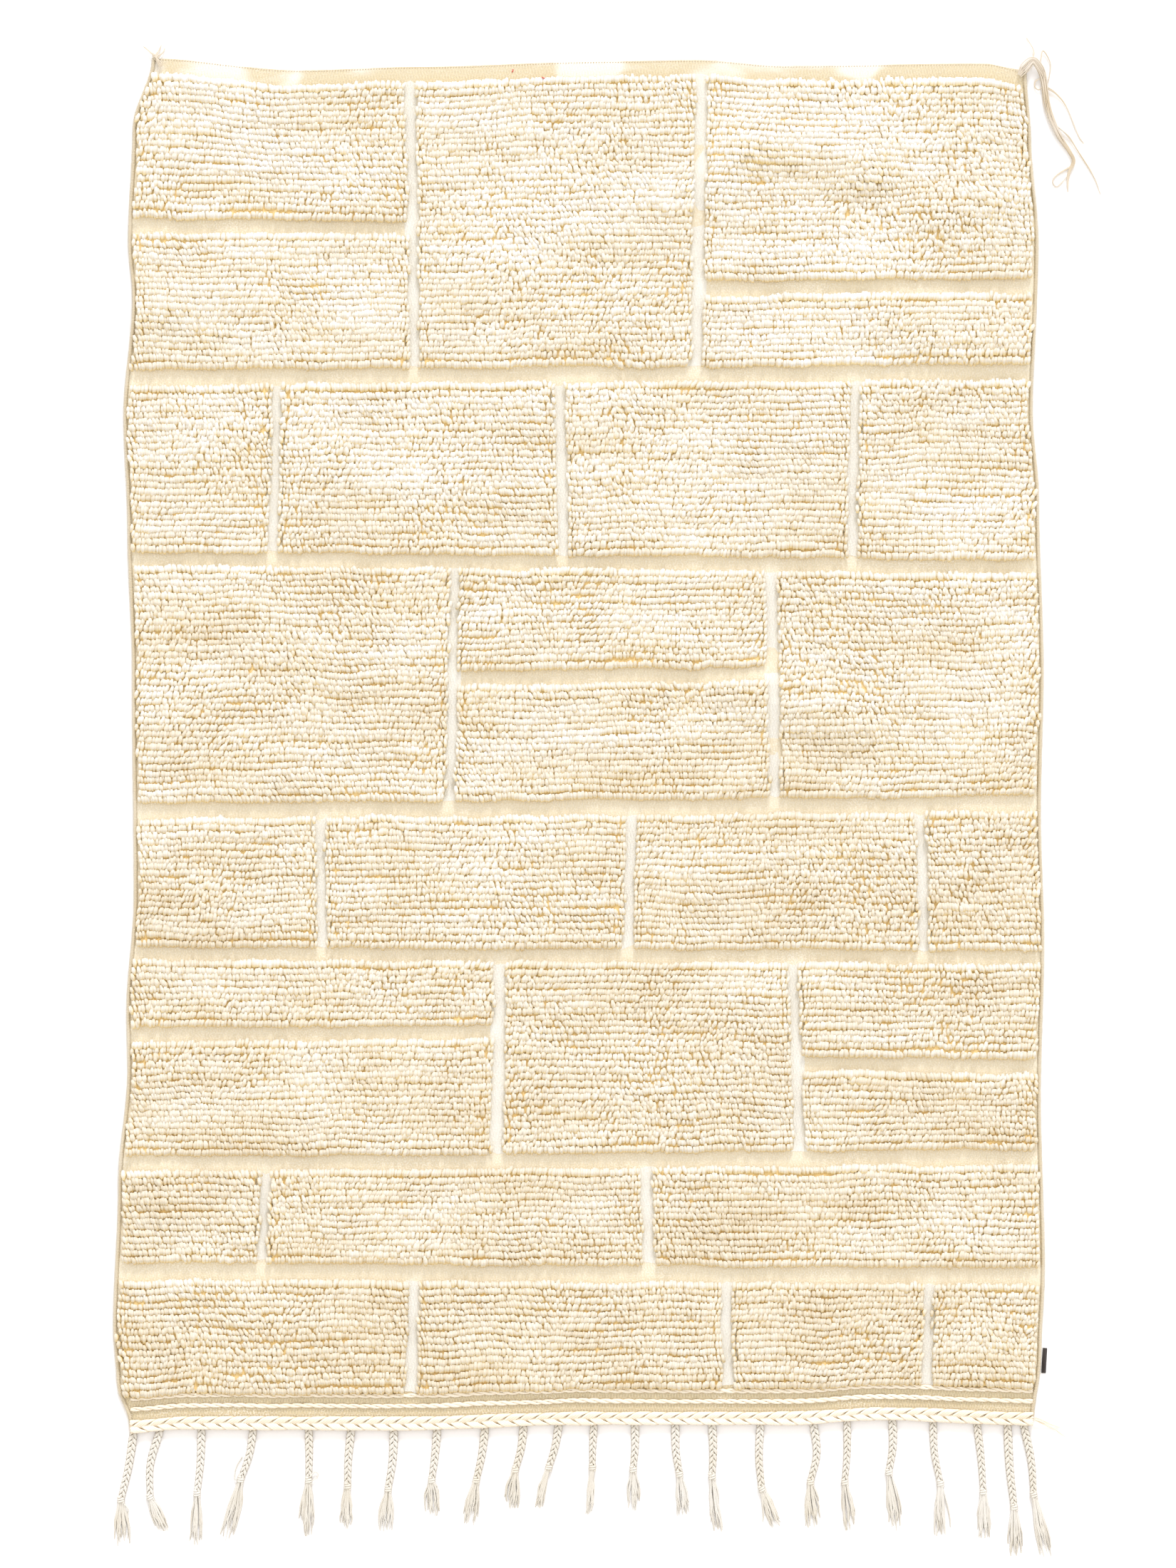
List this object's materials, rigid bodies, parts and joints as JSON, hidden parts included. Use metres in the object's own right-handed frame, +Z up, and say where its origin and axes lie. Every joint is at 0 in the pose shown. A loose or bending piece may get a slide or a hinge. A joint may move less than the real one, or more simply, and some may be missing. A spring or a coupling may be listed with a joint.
{
  "type": "rug",
  "caption": "Hand-knotted wool area rug with thick looped pile cut by bare woven channels, corded end, wrapped selvedges and a plaited cotton fringe, lying flat",
  "frame": {"origin": "on the flat underside, below the middle of the woven part", "axes": "+Z up out of the pile, +Y along the rug from its fringed edge to its headed end, +X across it to the right"},
  "size_m": [1.7318, 2.6561, 0.0344],
  "materials": {
    "pile_wool": "undyed hand-spun wool pile",
    "ground_yarn": "flat-woven undyed yarn",
    "fringe_cotton": "plaited cotton",
    "label_cloth": "dark woven tape"
  },
  "bodies": {
    "root": {"rug_body": "pile_wool", "twined_cord_upper": "ground_yarn", "twined_cord_lower": "ground_yarn", "edge_plait": "pile_wool", "fringe": "fringe_cotton", "corner_tassel": "fringe_cotton", "corner_tuft": "fringe_cotton", "edge_label": "label_cloth"}
  },
  "joints": []
}
